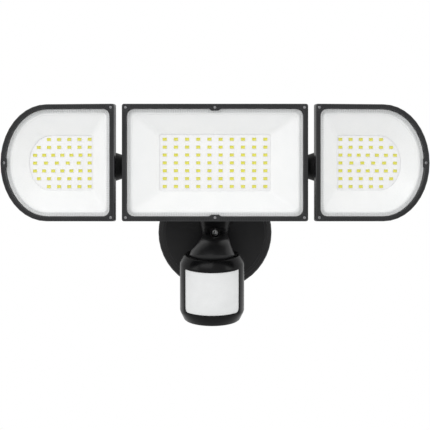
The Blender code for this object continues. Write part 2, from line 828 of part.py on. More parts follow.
def wall_gasket():
    outer = CANOPY_R - 1
    inner = CANOPY_R - 8
    ring = [(inner, 0), (outer, 0), (outer, GASKET_DEEP), (inner, GASKET_DEEP)]
    finish(revolve(ring, (0, 0, 0), (0, -1, 0), 44, True), "wall_gasket", DARK, roughness=0.8)


def strap():
    half_x, half_z = STRAP_LONG / 2, STRAP_WIDE / 2
    outline = rect_outline(half_x, half_z, STRAP_CORNER)
    obj = shape([[(x, y, z) for x, z in outline] for y in (-STRAP_THICK, 0)])
    past = STRAP_THICK + SINK
    slot = rect_outline(SLOT_LONG / 2, SLOT_WIDE / 2, SLOT_WIDE / 2 - 0.01)
    for mirror in (-1, 1):
        cut(obj, shape([[(x + SLOT_X * mirror, y, z) for x, z in slot] for y in (-past, SINK)]))
    cut(obj, rod((0, 0, 0), (0, -1, 0), CENTER_SCREW_R + GAP, -SINK, past, 16))
    cut(obj, rod((GROUND_X, 0, 0), (0, -1, 0), ARM_SCREW_R + GAP, -SINK, past, 16))
    finish(obj, "mounting_strap", ZINC, metallic=1.0, roughness=0.4)


def screw(name, spot, head_r, head_tall, shank_r, face, end, axis=(0, -1, 0)):
    profile = [(0, end), (shank_r, end), (shank_r, face), (head_r, face),
               (head_r, face + head_tall * 0.5), (head_r * 0.7, face + head_tall), (0, face + head_tall)]
    finish(revolve(profile, spot, axis, 16), name, ZINC, metallic=1.0, roughness=0.3)


def wall_screws():
    seat = ARM_FRONT - RECESS_DEEP + GAP
    screw("canopy_screw", (0, 0, 0), CENTER_SCREW_HEAD_R, CENTER_SCREW_TALL, CENTER_SCREW_R, seat, GAP)
    inside = CANOPY_DEEP - CANOPY_WALL - GAP
    for name, x in zip(("left", "right"), ARM_SCREW_X):
        spot = (x, 0, ARM_SCREW_Z)
        sizes = (ARM_SCREW_HEAD_R, ARM_SCREW_TALL, ARM_SCREW_R)
        screw("arm_screw_" + name, spot, *sizes, -inside, -inside - ARM_SCREW_LONG, (0, 1, 0))
    ground = (GROUND_X, 0, 0)
    screw("ground_screw", ground, GROUND_HEAD_R, ARM_SCREW_TALL, ARM_SCREW_R, STRAP_THICK + GAP, GAP)


def power_driver():
    sx, sy, sz = DRIVER_SIZE
    back = CANOPY_DEEP - CANOPY_WALL - GAP
    outline = rect_outline(sx / 2, sz / 2, DRIVER_CORNER)
    rings = [[(x, -y, DRIVER_Z + z) for x, z in outline] for y in (back - sy, back)]
    finish(shape(rings), "power_driver", WHITE, roughness=0.6)


# The skirt under the arm follows a ball about the swivel, so the sensor's dish turns clear of it.
def skirt_section(drop):
    r = math.sqrt(BELL_SPHERE ** 2 - drop ** 2)
    return (BALL.z - drop, BALL_Y + r, BALL_Y - r, r, 1.0)


def arm():
    rings = []
    for z, front, back, half, roundness in [skirt_section(drop) for drop in SKIRT_DROPS] + list(ARM_SECTIONS):
        deep = (front - back) / 2
        outline = rect_outline(half, deep, min(half, deep) * roundness, 6)
        lean = BALL_X * min(1.0, max(0.0, (LEAN_Z - z) / (LEAN_Z - BELL_Z)))
        rings.append([(x + lean, y - (front + back) / 2, z) for x, y in outline])
    obj = shape(rings)
    cut(obj, rod(BALL, (0, 0, 1), RING_R + SKIRT_ROOM, -SKIRT_DROPS[0] - SINK, BELL_Z - BALL.z, 28))
    add(obj, rod(HINGE, (1, 0, 0), BARREL_R, -BARREL_HALF, BARREL_HALF, 32))
    cut(obj, rod(HINGE, (1, 0, 0), BOLT_R + GAP, -20, 20, 20))
    bore_r = BALL_R + WORK_GAP + CUP_WALL + WORK_GAP
    seat_r = CUP_FLANGE_R + WORK_GAP
    seat_z = CUP_FLANGE_LOW + CUP_FLANGE_THICK + GAP
    profile = dome(bore_r, 90, math.degrees(math.asin(seat_z / bore_r)), 7)
    profile += [(seat_r, seat_z), (seat_r, -4), (0, -4)]
    cut(obj, revolve(profile, BALL, (0, 0, 1), 28))
    front = (0, -ARM_FRONT, 0)
    cut(obj, rod(front, (0, -1, 0), RECESS_R, -RECESS_DEEP, DRIVER_PATH, 24))
    back = ARM_BACK - SINK
    cut(obj, rod((0, 0, 0), (0, -1, 0), CENTER_SCREW_R + GAP, back, ARM_FRONT, 16))
    cut(obj, join(arm_screw_holes(back, ARM_BACK + ARM_SCREW_HOLE)))
    finish(obj, "arm_body", SATIN, roughness=0.4)


# Sensor

def dome(r, start, end, count):
    angles = [math.radians(start + (end - start) * i / (count - 1)) for i in range(count)]
    return [(r * math.cos(a), r * math.sin(a)) for a in angles]


def nod(obj):
    turn = Matrix.Rotation(math.radians(SENSOR_NOD), 4, "X")
    move = Matrix.Translation(BALL * MM)
    obj.data.transform(move @ turn @ move.inverted())
    return obj


def low_of(r, reach):
    return math.degrees(-math.acos(reach / r))


def swivel_cup():
    inner = BALL_R + WORK_GAP
    outer = inner + CUP_WALL
    top = CUP_FLANGE_LOW + CUP_FLANGE_THICK
    profile = dome(inner, 90, -26, 8)
    profile += [(outer - 1.0, -CUP_DROP), (outer, -CUP_DROP), (outer, CUP_FLANGE_LOW),
                (CUP_FLANGE_R, CUP_FLANGE_LOW), (CUP_FLANGE_R, top)]
    profile += dome(outer, math.degrees(math.asin(top / outer)), 90, 6)
    finish(revolve(profile, BALL, (0, 0, 1), 28), "swivel_cup", DARK, BALL, roughness=0.5)


def lock_ring():
    top = BELL_Z - BALL_Z - GAP
    inner = BALL_R + CUP_WALL + WORK_GAP + 0.5
    ring = [(inner, top), (inner, top - RING_THICK), (RING_R, top - RING_THICK), (RING_R, top)]
    finish(revolve(ring, BALL, (0, 0, 1), 28, True), "lock_ring", DARK, roughness=0.5)


def sensor_ball():
    floor = -DISH_R
    under = floor - SENSOR_WALL - GAP
    profile = dome(BALL_R, 90, low_of(BALL_R, NECK_R), 10)
    low = floor + 1.2
    high = low + COLLAR_TALL
    profile += [(NECK_R, high), (COLLAR_R, high), (COLLAR_R, low), (NECK_R, low), (NECK_R, under)]
    profile += [(RETAINER_R, under), (RETAINER_R, under - RETAINER_TALL), (0, under - RETAINER_TALL)]
    finish(nod(revolve(profile, BALL, (0, 0, 1), 24)), "sensor_ball", DARK, BALL, roughness=0.45)


def sensor_shell():
    r, w = SENSOR_R, SENSOR_WALL
    top = -SENSOR_TOP
    hole = NECK_R + WORK_GAP
    inner_dish = DISH_R + w
    rim = top - 2.8
    low = SENSOR_LOW
    profile = [(0, low + w), (SENSOR_END_R - w, low + w), (r - w, low + SHOULDER_END),
               (r - w, top - SHOULDER_TOP), (SENSOR_END_R - 1.4, rim)]
    rim_angle = math.degrees(math.asin(rim / inner_dish))
    profile += dome(inner_dish, rim_angle, low_of(inner_dish, hole), 7)
    profile += dome(DISH_R, low_of(DISH_R, hole), math.degrees(math.asin(top / DISH_R)), 7)
    profile += [(SENSOR_END_R - 1, top), (SENSOR_END_R, top - 0.8), (r - 0.5, top - SHOULDER_TOP + 1.5),
                (r, top - SHOULDER_TOP), (r, low + SHOULDER_END), (r - 0.5, low + SHOULDER_END - 1.6),
                (SENSOR_END_R, low + 0.8), (SENSOR_END_R - 1, low), (0, low)]
    return revolve(profile, BALL, (0, 0, 1), 40)


def patch(r0, r1, half_angle, top, low, corner):
    span = math.radians(half_angle) * SENSOR_R
    ends = [span - corner * (1 - math.sin(math.radians(a))) for a in (90, 70, 50, 30, 15, 0)]
    middle = [span * 0.8 * i / 7 for i in range(-7, 8)]
    stops = sorted(set([round(s, 4) for s in ends] + [round(-s, 4) for s in ends] +
                       [round(s, 4) for s in middle if abs(s) < span - corner]))
    rings = []
    for s in stops:
        beyond = max(0.0, abs(s) - (span - corner))
        lift = corner - math.sqrt(max(0.0, corner ** 2 - beyond ** 2))
        a = s / SENSOR_R
        ring = []
        for r, z in ((r0, low + lift), (r1, low + lift), (r1, top), (r0, top)):
            ring.append(BALL + Vector((r * math.sin(a), -r * math.cos(a), z)))
        rings.append(ring)
    return shape(rings)


def window_span():
    top = -WINDOW_TOP - SENSOR_TOP
    return top, top - WINDOW_TALL


def sensor_shells():
    reach = SENSOR_R + 10
    deep = SENSOR_LOW - 10
    front = sensor_shell()
    split = BALL.y + SPLIT_Y
    cut(front, block((-reach, split - GAP / 2, BALL.z + deep), (reach, split + 60, BALL.z + 10)))
    top, low = window_span()
    cut(front, patch(SENSOR_R - 5, SENSOR_R + 2, WINDOW_ANGLE, top, low, WINDOW_CORNER))
    holes = []
    for i in (-1, 0, 1):
        spot = BALL + Vector((i * KNOB_PITCH, KNOB_Y, SENSOR_LOW))
        holes.append(rod(spot, (0, 0, 1), KNOB_R + GAP, -2, SENSOR_WALL + 2, 20))
    cut(front, join(holes))
    finish(nod(front), "sensor_front", SATIN, BALL, roughness=0.35)
    rear = sensor_shell()
    cut(rear, block((-reach, split - 60, BALL.z + deep), (reach, split + GAP / 2, BALL.z + 10)))
    finish(nod(rear), "sensor_rear", SATIN, BALL, roughness=0.35)


def sensor_lens():
    top, low = window_span()
    inside = SENSOR_R - SENSOR_WALL - GAP
    trim = math.degrees(GAP / SENSOR_R)
    lap = WINDOW_ANGLE + LENS_LAP_ANGLE
    obj = patch(inside - LENS_WALL, inside, lap, top + LENS_LAP_TOP, low - LENS_LAP_LOW, WINDOW_CORNER)
    face = SENSOR_R - LENS_SUNK
    root = inside - LENS_WALL + 0.2
    pad = patch(root, face, WINDOW_ANGLE - trim, top - GAP, low + GAP, WINDOW_CORNER)
    finish(nod(add(obj, pad)), "sensor_lens", WHITE, BALL, roughness=0.4)


def sensor_inside():
    wide, thick, tall = SENSOR_BOARD
    low = SENSOR_LOW + SENSOR_BOARD_LOW
    face = -2.0
    board = block(BALL + Vector((-wide / 2, face, low)), BALL + Vector((wide / 2, face + thick, low + tall)))
    finish(nod(board), "sensor_board", (0.04, 0.2, 0.09), BALL, roughness=0.5)
    can = rod(BALL + Vector((0, face, SENSOR_LOW + PIR_Z)), (0, -1, 0), PIR_R, GAP, PIR_TALL, 20)
    finish(nod(can), "pir_element", ZINC, BALL, 1.0, 0.3)


def knobs():
    for i, name in zip((-1, 0, 1), ("time", "lux", "range")):
        spot = BALL + Vector((i * KNOB_PITCH, KNOB_Y, SENSOR_LOW))
        inside = SENSOR_WALL + GAP
        r, out, edge = KNOB_R, KNOB_OUT, KNOB_EDGE
        end = inside + KNOB_FLANGE
        lip = r + KNOB_LIP
        profile = [(0, -out), (r - edge, -out), (r, edge - out), (r, inside)]
        profile += [(lip, inside), (lip, end), (0, end)]
        obj = revolve(profile, spot, (0, 0, 1), 20)
        share, wide, deep = KNOB_SLOT
        half = Vector((r * share, wide / 2, 0))
        low, high = Vector((0, 0, -out - SINK)), Vector((0, 0, deep - out))
        cut(obj, block(spot - half + low, spot + half + high))
        turn = Matrix.Rotation(math.radians(SENSOR_NOD), 3, "X")
        pivot = BALL + turn @ (spot - BALL)
        finish(nod(obj), name + "_knob", WHITE, pivot, roughness=0.5)


def main():
    for obj in list(bpy.data.objects):
        bpy.data.objects.remove(obj)
    center = center_head()
    head_common(center, ("left_low", "left_high", "right_low", "right_high", "low", "high"))
    center_housing(center)
    hinge_hardware()
    for name, mirror in (("left", -1), ("right", 1)):
        head = side_head(name, mirror)
        head_common(head, ("low", "high", "outer"))
        side_housing(head, mirror)
        knuckle(name, mirror)
    strap()
    wall_gasket()
    canopy()
    arm()
    wall_screws()
    power_driver()
    swivel_cup()
    lock_ring()
    sensor_ball()
    sensor_shells()
    sensor_lens()
    sensor_inside()
    knobs()


main()
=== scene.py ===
import bpy
import bmesh
import json
import math
from mathutils import Matrix, Vector


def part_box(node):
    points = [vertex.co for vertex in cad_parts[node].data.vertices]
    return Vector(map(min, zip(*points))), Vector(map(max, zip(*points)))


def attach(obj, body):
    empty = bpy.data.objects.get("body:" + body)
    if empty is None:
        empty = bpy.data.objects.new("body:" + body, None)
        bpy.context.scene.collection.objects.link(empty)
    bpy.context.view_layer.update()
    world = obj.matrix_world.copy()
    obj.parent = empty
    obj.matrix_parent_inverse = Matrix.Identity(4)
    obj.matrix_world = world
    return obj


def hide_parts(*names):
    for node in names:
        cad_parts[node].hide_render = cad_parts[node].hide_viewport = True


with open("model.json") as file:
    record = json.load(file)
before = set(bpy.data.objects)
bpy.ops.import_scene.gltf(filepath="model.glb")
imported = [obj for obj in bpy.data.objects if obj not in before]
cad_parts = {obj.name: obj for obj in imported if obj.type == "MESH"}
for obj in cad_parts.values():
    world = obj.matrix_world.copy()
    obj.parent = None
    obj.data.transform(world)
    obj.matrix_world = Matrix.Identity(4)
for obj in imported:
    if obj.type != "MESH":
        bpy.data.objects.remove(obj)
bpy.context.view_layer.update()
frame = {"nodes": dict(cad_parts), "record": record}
print("frame loaded")

# the camera stands straight in front of the light, far off with a long lens
cameraLook = {"distance": 2.938, "height": 0.0169, "lens": 252.0}


def makeCamera():
    data = bpy.data.cameras.new("camera")
    data.sensor_width = 36
    data.lens = cameraLook["lens"]
    data.clip_end = 50
    camera = bpy.data.objects.new("camera", data)
    camera.location = (0, -cameraLook["distance"], cameraLook["height"])
    camera.rotation_euler = (math.radians(90), 0, 0)
    bpy.context.scene.collection.objects.link(camera)
    bpy.context.scene.camera = camera


makeCamera()


# shader maths: a wrapped socket that takes + and *
class Flow:
    def __init__(self, finish, socket):
        self.finish = finish
        self.socket = socket

    def step(self, operation, other):
        return self.finish.node("ShaderNodeMath", {"operation": operation}, self, other)

    def __add__(self, other):
        return self.step("ADD", other)

    def __mul__(self, other):
        return self.step("MULTIPLY", other)


# one material and its nodes; values are numbers, colours or Flow
class Finish:
    def __init__(self, name, **fixed):
        self.material = bpy.data.materials.new(name)
        self.material.use_nodes = True
        self.tree = self.material.node_tree
        self.shader = self.tree.nodes["Principled BSDF"]
        self.set(**fixed)
        self.place = self.node("ShaderNodeTexCoord", {}, out="Object")

    def node(self, kind, settings, *values, out=0, **named):
        made = self.tree.nodes.new(kind)
        for key, value in settings.items():
            setattr(made, key, value)
        for i, value in enumerate(values):
            self.feed(made.inputs[i], value)
        for key, value in named.items():
            self.feed(made.inputs[key.replace("_", " ")], value)
        return Flow(self, made.outputs[out])

    def feed(self, socket, value):
        if isinstance(value, Flow):
            self.tree.links.new(value.socket, socket)
        else:
            socket.default_value = value

    def set(self, **named):
        for key, value in named.items():
            self.feed(self.shader.inputs[key.replace("_", " ")], value)

    def noise(self, scale, detail=3.0, rough=0.55, where=None):
        return self.node("ShaderNodeTexNoise", {}, Vector=where or self.place, Scale=scale,
                         Detail=detail, Roughness=rough)

    def between(self, factor, low, high):
        return self.node("ShaderNodeMapRange", {"clamp": True}, factor, 0.3, 0.7, low, high)

    def tint(self, factor, first, second):
        mixed = self.node("ShaderNodeMix", {"data_type": "RGBA"}, factor, out=2)
        inputs = mixed.socket.node.inputs
        inputs[6].default_value = (*first, 1)
        inputs[7].default_value = (*second, 1)
        return mixed

    def bump(self, height, strength, distance):
        bumped = self.node("ShaderNodeBump", {}, Strength=strength, Distance=distance, Height=height)
        self.set(Normal=bumped)


# powder coat and moulded plastic: base colours, roughness low and high, grain size and depth,
# coat weight and how much the surface mirrors
blackFinishes = {
    "bezelBlack": {"dark": (0.013, 0.0135, 0.015), "pale": (0.021, 0.0215, 0.023),
                   "rough": (0.24, 0.36), "grain": 1400, "depth": 0.10, "coat": 0.15, "shine": 0.36},
    "housingBlack": {"dark": (0.010, 0.010, 0.011), "pale": (0.018, 0.018, 0.020),
                     "rough": (0.34, 0.48), "grain": 1100, "depth": 0.18, "coat": 0.05, "shine": 0.35},
    "canopyBlack": {"dark": (0.005, 0.005, 0.0055), "pale": (0.010, 0.010, 0.011),
                    "rough": (0.36, 0.50), "grain": 1300, "depth": 0.14, "coat": 0.0, "shine": 0.30},
    "armBlack": {"dark": (0.006, 0.006, 0.0065), "pale": (0.012, 0.012, 0.013),
                 "rough": (0.32, 0.46), "grain": 1300, "depth": 0.12, "coat": 0.05, "shine": 0.34},
    "sensorBlack": {"dark": (0.003, 0.003, 0.0032), "pale": (0.006, 0.006, 0.0065),
                    "rough": (0.18, 0.30), "grain": 1800, "depth": 0.06, "coat": 0.03, "shine": 0.14},
    "jointBlack": {"dark": (0.004, 0.004, 0.0045), "pale": (0.009, 0.009, 0.010),
                   "rough": (0.42, 0.60), "grain": 1500, "depth": 0.12, "coat": 0.0, "shine": 0.30},
    "rubberBlack": {"dark": (0.012, 0.012, 0.012), "pale": (0.022, 0.022, 0.021),
                    "rough": (0.68, 0.85), "grain": 900, "depth": 0.25, "coat": 0.0, "shine": 0.5},
}
blackLook = {"cloud": 38.0, "detail": 4.0, "coatRough": 0.12, "relief": 0.00008}


def makeBlack(name):
    look = blackFinishes[name]
    finish = Finish(name, Coat_Weight=look["coat"], Coat_Roughness=blackLook["coatRough"],
                    Specular_IOR_Level=look["shine"])
    cloud = finish.noise(blackLook["cloud"], blackLook["detail"])
    grain = finish.noise(look["grain"], 2.0, 0.5)
    blotch = finish.between(cloud * 0.7 + grain * 0.3, 0.0, 1.0)
    finish.set(Base_Color=finish.tint(blotch, look["dark"], look["pale"]))
    low, high = look["rough"]
    finish.set(Roughness=finish.between(grain * 0.5 + cloud * 0.5, low, high))
    finish.bump(grain, look["depth"], blackLook["relief"])
    return finish.material


# metals: base colours, roughness low and high, and the scale of the brushed grain
metalFinishes = {
    "zincPlate": {"dark": (0.50, 0.51, 0.50), "pale": (0.70, 0.70, 0.67),
                  "rough": (0.24, 0.42), "scale": 260},
    "screwPlate": {"dark": (0.24, 0.24, 0.25), "pale": (0.36, 0.36, 0.37),
                   "rough": (0.26, 0.40), "scale": 900},
    "brightScrew": {"dark": (0.84, 0.84, 0.84), "pale": (0.96, 0.96, 0.95),
                    "rough": (0.42, 0.58), "scale": 700},
}
metalLook = {"stretch": (1.0, 1.0, 9.0), "spangle": 1.4, "depth": 0.12, "relief": 0.00005}


def makeMetal(name):
    look = metalFinishes[name]
    finish = Finish(name, Metallic=1.0)
    spread = finish.node("ShaderNodeMapping", {}, finish.place, Scale=metalLook["stretch"])
    brushed = finish.noise(look["scale"], 3.0, 0.6, spread)
    crystal = look["scale"] * metalLook["spangle"]
    spangle = finish.node("ShaderNodeTexVoronoi", {}, Vector=finish.place, Scale=crystal, out=1)
    shade = finish.node("ShaderNodeRGBToBW", {}, spangle)
    plate = finish.between(brushed * 0.7 + shade * 0.3, 0, 1)
    finish.set(Base_Color=finish.tint(plate, look["dark"], look["pale"]))
    low, high = look["rough"]
    finish.set(Roughness=finish.between(brushed, low, high))
    finish.bump(brushed, metalLook["depth"], metalLook["relief"])
    return finish.material


# pale finishes: reflector plastic, solder mask, chip package, lens plastics
paleFinishes = {
    "reflectorWhite": {"dark": (0.90, 0.91, 0.91), "pale": (0.95, 0.95, 0.95),
                       "rough": (0.30, 0.42), "grain": 700},
    "siliconeWhite": {"dark": (0.90, 0.91, 0.91), "pale": (0.95, 0.95, 0.95),
                      "rough": (0.50, 0.62), "grain": 600},
    # the gasket teeth are painted grey: painted shade standing in for the shadow in the gaps between the
    # teeth
    "toothShadeGrey": {"dark": (0.77, 0.78, 0.78), "pale": (0.85, 0.86, 0.86),
                  "rough": (0.45, 0.60), "grain": 600},
    "boardWhite": {"dark": (0.88, 0.88, 0.88), "pale": (0.93, 0.93, 0.94),
                   "rough": (0.38, 0.50), "grain": 1200},
    "chipWhite": {"dark": (0.88, 0.86, 0.84), "pale": (0.95, 0.93, 0.91),
                  "rough": (0.35, 0.45), "grain": 2500},
    "knobWhite": {"dark": (0.74, 0.74, 0.72), "pale": (0.84, 0.84, 0.82),
                  "rough": (0.34, 0.46), "grain": 1100},
    "driverWhite": {"dark": (0.68, 0.69, 0.68), "pale": (0.80, 0.80, 0.79),
                    "rough": (0.42, 0.56), "grain": 800},
    "windowWhite": {"dark": (0.80, 0.81, 0.81), "pale": (0.88, 0.89, 0.89),
                    "rough": (0.30, 0.42), "grain": 1500},
}
paleLook = {"cloud": 55.0, "detail": 4.0, "depth": 0.08, "relief": 0.00005}


def makePale(name):
    look = paleFinishes[name]
    finish = Finish(name)
    cloud = finish.noise(paleLook["cloud"], paleLook["detail"])
    grain = finish.noise(look["grain"], 2.0, 0.5)
    blotch = finish.between(cloud * 0.6 + grain * 0.4, 0, 1)
    finish.set(Base_Color=finish.tint(blotch, look["dark"], look["pale"]))
    low, high = look["rough"]
    finish.set(Roughness=finish.between(grain, low, high))
    finish.bump(grain, paleLook["depth"], paleLook["relief"])
    return finish.material


phosphorLook = {"dark": (0.70, 0.66, 0.02), "pale": (0.82, 0.78, 0.04), "rough": (0.22, 0.34),
                "crystals": 5200.0, "cloud": 240.0, "depth": 0.15, "relief": 0.00006}


def makePhosphor():
    look = phosphorLook
    finish = Finish("phosphorYellow", IOR=1.45)
    crystals = finish.node("ShaderNodeTexVoronoi", {}, Vector=finish.place, Scale=look["crystals"])
    cloud = finish.noise(look["cloud"], 2.0)
    mixed = finish.between(crystals * 0.5 + cloud * 0.5, 0.0, 1.0)
    finish.set(Base_Color=finish.tint(mixed, look["dark"], look["pale"]))
    low, high = look["rough"]
    finish.set(Roughness=finish.between(cloud, low, high))
    finish.bump(crystals, look["depth"], look["relief"])
    return finish.material


clearLook = {"dark": (0.90, 0.93, 0.93), "pale": (0.95, 0.97, 0.97), "alpha": (0.03, 0.05),
             "rough": 0.04, "haze": 30.0}


def makeClear():
    look = clearLook
    finish = Finish("clearLens", Roughness=look["rough"], IOR=1.5)
    haze = finish.noise(look["haze"])
    finish.set(Base_Color=finish.tint(finish.between(haze, 0, 1), look["dark"], look["pale"]))
    low, high = look["alpha"]
    finish.set(Alpha=finish.between(haze, low, high))
    return finish.material


greenLook = {"dark": (0.02, 0.14, 0.06), "pale": (0.05, 0.24, 0.11), "rough": (0.25, 0.4),
             "weave": 300.0, "grain": 420.0, "depth": 0.1, "relief": 0.00004}


def makeBoardGreen():
    look = greenLook
    finish = Finish("maskGreen", IOR=1.5)
    weave = finish.node("ShaderNodeTexBrick", {}, Vector=finish.place, Scale=look["weave"], out=1)
    grain = finish.noise(look["grain"])
    mixed = finish.between(weave * 0.3 + grain * 0.7, 0.0, 1.0)
    finish.set(Base_Color=finish.tint(mixed, look["dark"], look["pale"]))
    low, high = look["rough"]
    finish.set(Roughness=finish.between(grain, low, high))
    finish.bump(weave, look["depth"], look["relief"])
    return finish.material


materials = {name: makeBlack(name) for name in blackFinishes}
materials.update({name: makeMetal(name) for name in metalFinishes})
materials.update({name: makePale(name) for name in paleFinishes})
materials["phosphorYellow"] = makePhosphor()
materials["clearLens"] = makeClear()
materials["maskGreen"] = makeBoardGreen()
print("finishes made:", len(materials))


# CAD nodes keep their shape: a merged copy gets soft edges, smooth shading and its finish
mergeLook = {"merge": 2e-6, "flat": 0.5, "sharp": 32, "smooth": 38, "steps": 2}
# how squarely a face looks to the front, and how far from a level a corner still lies on it
frontLook = {"facing": 0.99, "close": 1e-6}


def meshOf(name, soften):
    look = mergeLook
    bm = bmesh.new()
    bm.from_mesh(frame["nodes"][name].data)
    bmesh.ops.remove_doubles(bm, verts=bm.verts, dist=look["merge"])
    bmesh.ops.join_triangles(bm, faces=bm.faces, angle_face_threshold=math.radians(look["flat"]),
                             angle_shape_threshold=math.radians(180))
    if soften > 0:
        limit = math.radians(look["sharp"])
        sharp = [e for e in bm.edges if len(e.link_faces) == 2 and e.calc_face_angle(0) > limit
                 and e.calc_length() > soften]
        bmesh.ops.bevel(bm, geom=sharp, offset=soften, offset_type="OFFSET", segments=look["steps"],
                        profile=0.5, affect="EDGES", clamp_overlap=True, material=-1)
    return bm


def makeObject(bm, name, finishes, smoothAngle=mergeLook["smooth"], smooth=True):
    mesh = bpy.data.meshes.new(name)
    bm.to_mesh(mesh)
    bm.free()
    for finish in finishes:
        mesh.materials.append(materials[finish])
    for face in mesh.polygons:
        face.use_smooth = smooth
    mesh.set_sharp_from_angle(angle=math.radians(smoothAngle))
    made = bpy.data.objects.new(name, mesh)
    bpy.context.scene.collection.objects.link(made)
    return made


bodyOf = {}
for bodyName, nodeNames in frame["record"]["behaviour"]["bodies"].items():
    for nodeName in nodeNames:
        bodyOf[nodeName] = bodyName
slotOf = {row["node"]: row["material_slot"] for row in frame["record"]["subparts"]}


def settle(made, body, slot, *nodes):
    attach(made, body)
    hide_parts(*nodes)


def dress(name, finish, soften):
    made = makeObject(meshOf(name, soften), name + "Skin", [finish])
    settle(made, bodyOf[name], slotOf[name], name)


# finish and edge softening, in metres, for each kind of piece
dressing = {"reflector": ("reflectorWhite", 0.00025), "housing": ("housingBlack", 0.0003)}
for headName in ("center", "left", "right"):
    for part, (finish, soften) in dressing.items():
        dress(headName + "_" + part, finish, soften)

wallDressing = {
    "mounting_strap": ("zincPlate", 0.0002), "wall_gasket": ("rubberBlack", 0.0003),
    "canopy": ("canopyBlack", 0.0004), "arm_body": ("armBlack", 0.00015),
    "power_driver": ("driverWhite", 0.0006), "lock_ring": ("jointBlack", 0.0003),
    "hinge_washer": ("zincPlate", 0.00015), "hinge_nut": ("zincPlate", 0.0002),
    "swivel_cup": ("jointBlack", 0.0003), "sensor_ball": ("jointBlack", 0.0003),
    "sensor_front": ("sensorBlack", 0.0003), "sensor_rear": ("sensorBlack", 0.0003),
    "sensor_board": ("maskGreen", 0.0001), "pir_element": ("brightScrew", 0.0003),
    "left_knuckle": ("jointBlack", 0.0004), "right_knuckle": ("jointBlack", 0.0004),
}
for name, (finish, soften) in wallDressing.items():
    dress(name, finish, soften)
print("frame pieces dressed")


# light boards: a plain slab, and on it chips with a white package and a sunken yellow face
boardLook = {"rim": 0.00004, "lip": 0.00003, "sink": 0.00008, "root": 0.0002, "least": 0.0003,
             "close": 1e-5, "smooth": 30}


def frontOf(headName):
    normal = Vector((0, -1, 0))
    if headName == "center":
        return normal
    faces = frame["nodes"][headName + "_lens"].data.polygons
    return max((f for f in faces if f.normal.y < -0.5), key=lambda f: f.area).normal.copy()


def thicken(bm, faces, move):
    made = bmesh.ops.extrude_face_region(bm, geom=faces, use_keep_orig=True)["geom"]
    verts = [item for item in made if isinstance(item, bmesh.types.BMVert)]
    bmesh.ops.translate(bm, verts=verts, vec=move)


def facesAt(bm, direction, level):
    found = [f for f in bm.faces if f.normal.dot(direction) > frontLook["facing"]]
    return [f for f in found if abs(f.calc_center_median().dot(direction) - level) < boardLook["close"]]


def makeBoard(headName):
    name = headName + "_led_board"
    bm = meshOf(name, 0)
    normal = frontOf(headName)
    heights = [v.co.dot(normal) for v in bm.verts]
    level, deep = max(heights), min(heights)
    face = max(h for h in heights if h < level - boardLook["least"])
    tops = facesAt(bm, normal, level)
    backs = facesAt(bm, -normal, -deep)
    spare = [f for f in bm.faces if f not in tops and f not in backs]
    bmesh.ops.delete(bm, geom=spare, context="FACES")
    backs = bmesh.ops.dissolve_faces(bm, faces=backs)["region"]
    thicken(bm, backs, normal * (face - deep))
    slab = [f for f in bm.faces if f not in tops]
    thicken(bm, tops, normal * (face - level - boardLook["root"]))
    for part in bm.faces:
        part.material_index = 0 if part in slab else 1
    bmesh.ops.recalc_face_normals(bm, faces=bm.faces)
    bmesh.ops.inset_individual(bm, faces=tops, thickness=boardLook["rim"], depth=0)
    for top in tops:
        top.material_index = 2
    bmesh.ops.inset_individual(bm, faces=tops, thickness=boardLook["lip"], depth=-boardLook["sink"])
    finishes = ["boardWhite", "chipWhite", "phosphorYellow"]
    made = makeObject(bm, headName + "LightBoard", finishes, boardLook["smooth"], False)
    settle(made, bodyOf[name], slotOf[name], name)
    return len(tops)


for headName in ("center", "left", "right"):
    print(headName, "chips:", makeBoard(headName))


# gaskets: a silicone ring with fine teeth that reach in over the reflector's flange; the teeth take a grey
# finish, painted shade that stands in for the shadow between them
gasketLook = {"pitch": 0.0022, "wide": 0.0011, "reach": 0.0021, "root": 0.0009, "proud": 0.0001,
              "deep": 0.0012, "clear": 0.0, "side": min, "soften": 0.0001,
              "finishes": ["siliconeWhite", "toothShadeGrey"]}
# bezels: fine raised ribs along the frame, left out round the screws
ribLook = {"pitch": 0.0022, "wide": 0.0011, "reach": 0.0025, "root": -0.0003, "proud": 0.00006,
           "deep": 0.0006, "clear": 0.0042, "side": max, "soften": 0.00022,
           "finishes": ["bezelBlack", "armBlack"]}


def frontLoop(bm, normal, pick):
    level = max(v.co.dot(normal) for v in bm.verts)
    center = sum((v.co for v in bm.verts), Vector()) / len(bm.verts)
    joined = {}
    for edge in bm.edges:
        fronts = [f for f in edge.link_faces if f.normal.dot(normal) > frontLook["facing"]]
        atFront = all(level - v.co.dot(normal) < frontLook["close"] for v in edge.verts)
        if len(fronts) == 1 and atFront:
            for vert in edge.verts:
                joined.setdefault(vert, []).append(edge.other_vert(vert))
    loops = []
    left = set(joined)
    while left:
        path = [left.pop()]
        ahead = [v for v in joined[path[-1]] if v in left]
        while ahead:
            path.append(ahead[0])
            left.discard(ahead[0])
            ahead = [v for v in joined[path[-1]] if v in left]
        loops.append([v.co.copy() for v in path])
    return pick(loops, key=lambda path: max((spot - center).length for spot in path)), center


def addTooth(bm, look, spot, along, normal, center):
    inward = along.cross(normal).normalized()
    if inward.dot(center - spot) < 0:
        inward.negate()
    size = Matrix.Diagonal((look["wide"], look["reach"] + look["root"], look["deep"], 1))
    turn = Matrix((along, inward, normal)).transposed().to_4x4()
    middle = spot + inward * (look["reach"] - look["root"]) / 2 + normal * (look["proud"] - look["deep"] / 2)
    verts = bmesh.ops.create_cube(bm, size=1.0, matrix=Matrix.Translation(middle) @ turn @ size)["verts"]
    for face in {f for v in verts for f in v.link_faces}:
        face.material_index = 1


